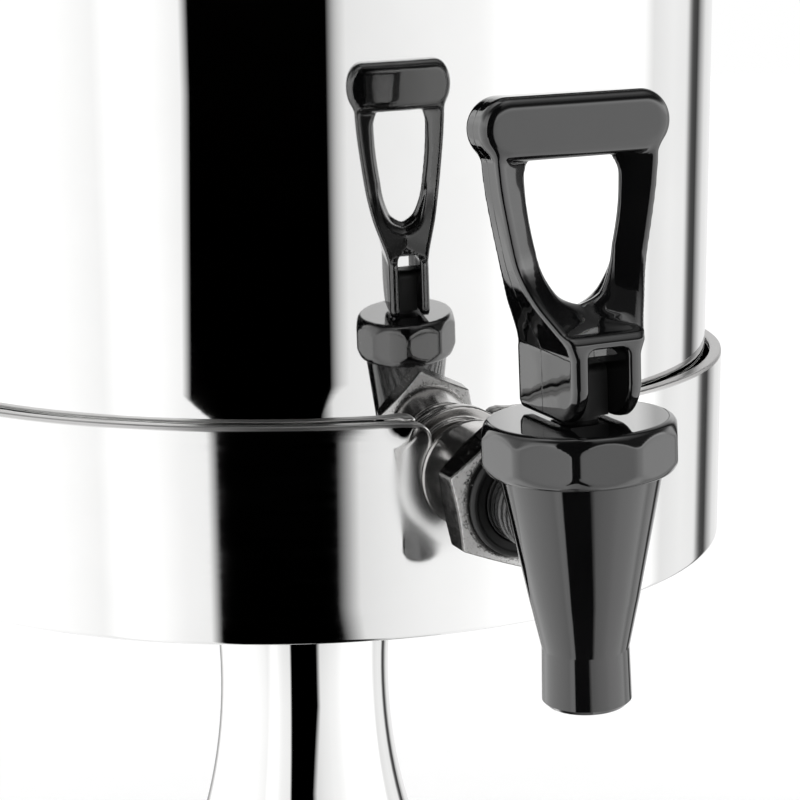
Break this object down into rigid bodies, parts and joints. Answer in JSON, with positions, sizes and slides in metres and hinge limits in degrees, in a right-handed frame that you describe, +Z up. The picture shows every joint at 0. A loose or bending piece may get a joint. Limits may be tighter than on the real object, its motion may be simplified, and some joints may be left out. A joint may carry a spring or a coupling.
{
  "type": "milk dispenser",
  "caption": "Pedestal milk dispenser: a polished steel can in a notched band on a flared column, with a lift-off lid, an ice tube, a self-closing tap and a drip tray.",
  "frame": {"origin": "centre of the foot pad underside, on the axis of the column and container", "axes": "+Z up along the column, the tap points to -Y, +X to the right of someone facing the back"},
  "size_m": [0.236, 0.337, 0.4302],
  "materials": {
    "polished_steel": "mirror polish",
    "plain_steel": "satin",
    "cast_weight": "matte",
    "black_plastic": "glossy moulded",
    "black_rubber": "matte",
    "clear_silicone": "soft satin"
  },
  "bodies": {
    "stand": {"foot_pad": "black_rubber", "base_weight": "cast_weight", "pedestal": "polished_steel", "column": "polished_steel", "pedestal_flange": "plain_steel", "tie_rod": "plain_steel", "tie_nut": "plain_steel", "tie_washer": "plain_steel", "support_plate": "plain_steel", "flange_screws": "plain_steel", "support_band": "polished_steel", "seat_ring": "black_rubber", "tray_arm": "plain_steel", "arm_screws": "plain_steel", "arm_pad": "black_rubber"},
    "container": {"container": "polished_steel", "container_floor": "polished_steel", "outlet_fitting": "polished_steel", "lock_nut": "plain_steel", "sealing_washer": "black_rubber", "tap_body": "black_plastic", "bonnet": "black_plastic", "seat_cup": "clear_silicone"},
    "lid": {"lid": "polished_steel", "lid_collar": "polished_steel", "lid_gasket": "clear_silicone", "tube_seal": "clear_silicone"},
    "ice_tube": {"ice_tube": "polished_steel"},
    "tube_cap": {"tube_cap": "polished_steel", "cap_plug": "black_plastic", "cap_seal": "black_rubber", "knob": "black_plastic", "knob_screw": "plain_steel"},
    "stem": {"stem": "black_plastic"},
    "handle": {"handle": "black_plastic", "pivot_pin": "plain_steel"},
    "drip_tray": {"drip_tray": "polished_steel"},
    "drip_grille": {"drip_grille": "polished_steel"}
  },
  "joints": [
    {"name": "container_lift", "type": "slide", "parent": "stand", "child": "container", "axis": [0, 0, 1], "range_m": [0, 0.06]},
    {"name": "lid_lift", "type": "slide", "parent": "container", "child": "lid", "axis": [0, 0, 1], "range_m": [0, 0.06]},
    {"name": "ice_tube_lift", "type": "slide", "parent": "lid", "child": "ice_tube", "axis": [0, 0, 1], "range_m": [0, 0.1]},
    {"name": "cap_lift", "type": "slide", "parent": "ice_tube", "child": "tube_cap", "axis": [0, 0, 1], "range_m": [0, 0.03]},
    {"name": "tap_stem_lift", "type": "slide", "parent": "container", "child": "stem", "axis": [-0.0401, 0, 0.9992], "range_m": [0, 0.0046], "deforming": ["seat_cup"]},
    {"name": "tap_handle_tilt", "type": "hinge", "parent": "stem", "child": "handle", "pos_m": [-0.00112, -0.157, 0.23948], "axis": [0.9992, 0, 0.0401], "range_deg": [0, 40], "stiffness_Nm_per_rad": 0.2, "springref_deg": -17.19},
    {"name": "drip_tray_slide", "type": "slide", "parent": "stand", "child": "drip_tray", "axis": [0, -1, 0], "range_m": [0, 0.09]},
    {"name": "drip_grille_lift", "type": "slide", "parent": "drip_tray", "child": "drip_grille", "axis": [0, 0, 1], "range_m": [0, 0.03]}
  ],
  "couplings": [
    {"joint": "tap_stem_lift", "follows": "tap_handle_tilt", "m_per_rad": 0.0065}
  ]
}
